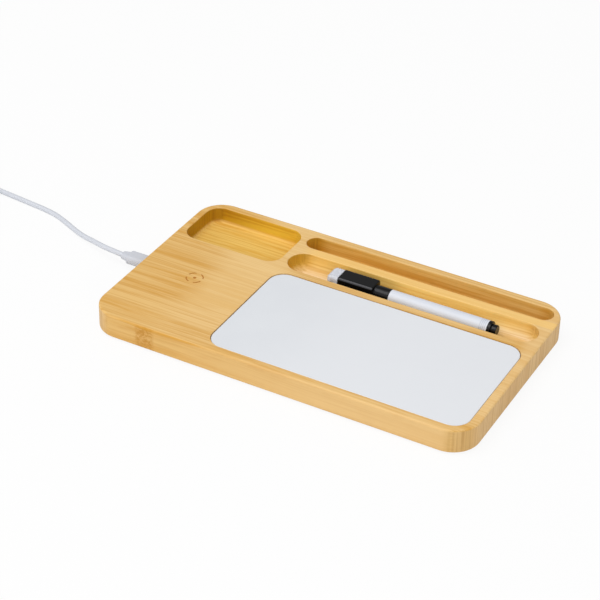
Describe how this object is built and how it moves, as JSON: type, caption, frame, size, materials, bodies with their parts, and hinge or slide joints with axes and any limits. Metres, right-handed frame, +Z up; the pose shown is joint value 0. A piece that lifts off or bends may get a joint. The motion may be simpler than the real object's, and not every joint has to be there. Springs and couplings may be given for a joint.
{
  "type": "charging station organizer",
  "caption": "Bamboo desk organizer with a charging pad, a tray, a pen groove, a handset slot and an inset whiteboard, with a capped marker and a plug-in power cable.",
  "frame": {"origin": "centre of the board's footprint, on the plane of the feet's undersides", "axes": "+X along the board to the right, +Y to the back where the handset slot is, +Z up"},
  "size_m": [0.4334, 0.14, 0.0171],
  "materials": {
    "bamboo": "fine-sanded laminated bamboo, satin oil",
    "panel": "smooth white dry-erase laminate",
    "glue": "pale adhesive film",
    "foot_rubber": "matt rubber",
    "cover": "fine moulded texture",
    "screw_steel": "zinc-plated",
    "circuit": "solder mask",
    "copper": "enamelled copper wire",
    "ferrite": "dull grey ferrite",
    "chip": "moulded epoxy",
    "capacitor": "ceramic",
    "plug_steel": "bright drawn steel",
    "dark_plastic": "moulded",
    "marker_white": "smooth moulded white",
    "ink_fibre": "ink-soaked fibre",
    "cap_black": "satin moulded black",
    "felt": "pressed white felt",
    "magnet": "nickel-plated",
    "plug_white": "satin moulded white",
    "cord_white": "soft white jacket",
    "tie_fabric": "white hook-and-loop strap",
    "tongue_white": "moulded",
    "contact_gold": "gold-plated contacts"
  },
  "bodies": {
    "organizer": {"bamboo_board": "bamboo", "whiteboard_panel": "panel", "whiteboard_glue": "glue", "rubber_feet": "foot_rubber", "base_cover": "cover", "cover_screws": "screw_steel", "charger_board": "circuit", "charger_board_screws": "screw_steel", "transmitter_coil": "copper", "coil_leads": "copper", "coil_glue": "glue", "ferrite_sheet": "ferrite", "control_chip": "chip", "bridge_chips": "chip", "resonant_capacitors": "capacitor", "filter_inductor": "ferrite", "socket_shell": "plug_steel", "socket_tongue": "dark_plastic"},
    "marker": {"marker_barrel": "marker_white", "marker_tail_plug": "cap_black", "marker_reservoir": "ink_fibre", "marker_nib_holder": "marker_white", "marker_nib": "ink_fibre"},
    "cap": {"marker_cap": "cap_black", "cap_eraser": "felt", "cap_magnet": "magnet"},
    "cable": {"inlet_plug_shell": "plug_steel", "inlet_plug_insert": "dark_plastic", "inlet_plug_body": "plug_white", "inlet_plug_relief": "plug_white", "cord_lead": "cord_white", "cord_coil": "cord_white", "cord_tail": "cord_white", "cord_tie": "tie_fabric", "supply_plug_relief": "plug_white", "supply_plug_body": "plug_white", "supply_plug_shell": "plug_steel", "supply_plug_tongue": "tongue_white", "supply_plug_contacts": "contact_gold"}
  },
  "joints": [
    {"name": "marker_lift", "type": "slide", "parent": "organizer", "child": "marker", "axis": [0, 0, 1], "range_m": [0, 0.06]},
    {"name": "cap_pull", "type": "slide", "parent": "marker", "child": "cap", "axis": [-1, 0, 0], "range_m": [0, 0.021]},
    {"name": "plug_pull", "type": "slide", "parent": "organizer", "child": "cable", "axis": [-1, 0, 0], "range_m": [0, 0.012]}
  ]
}
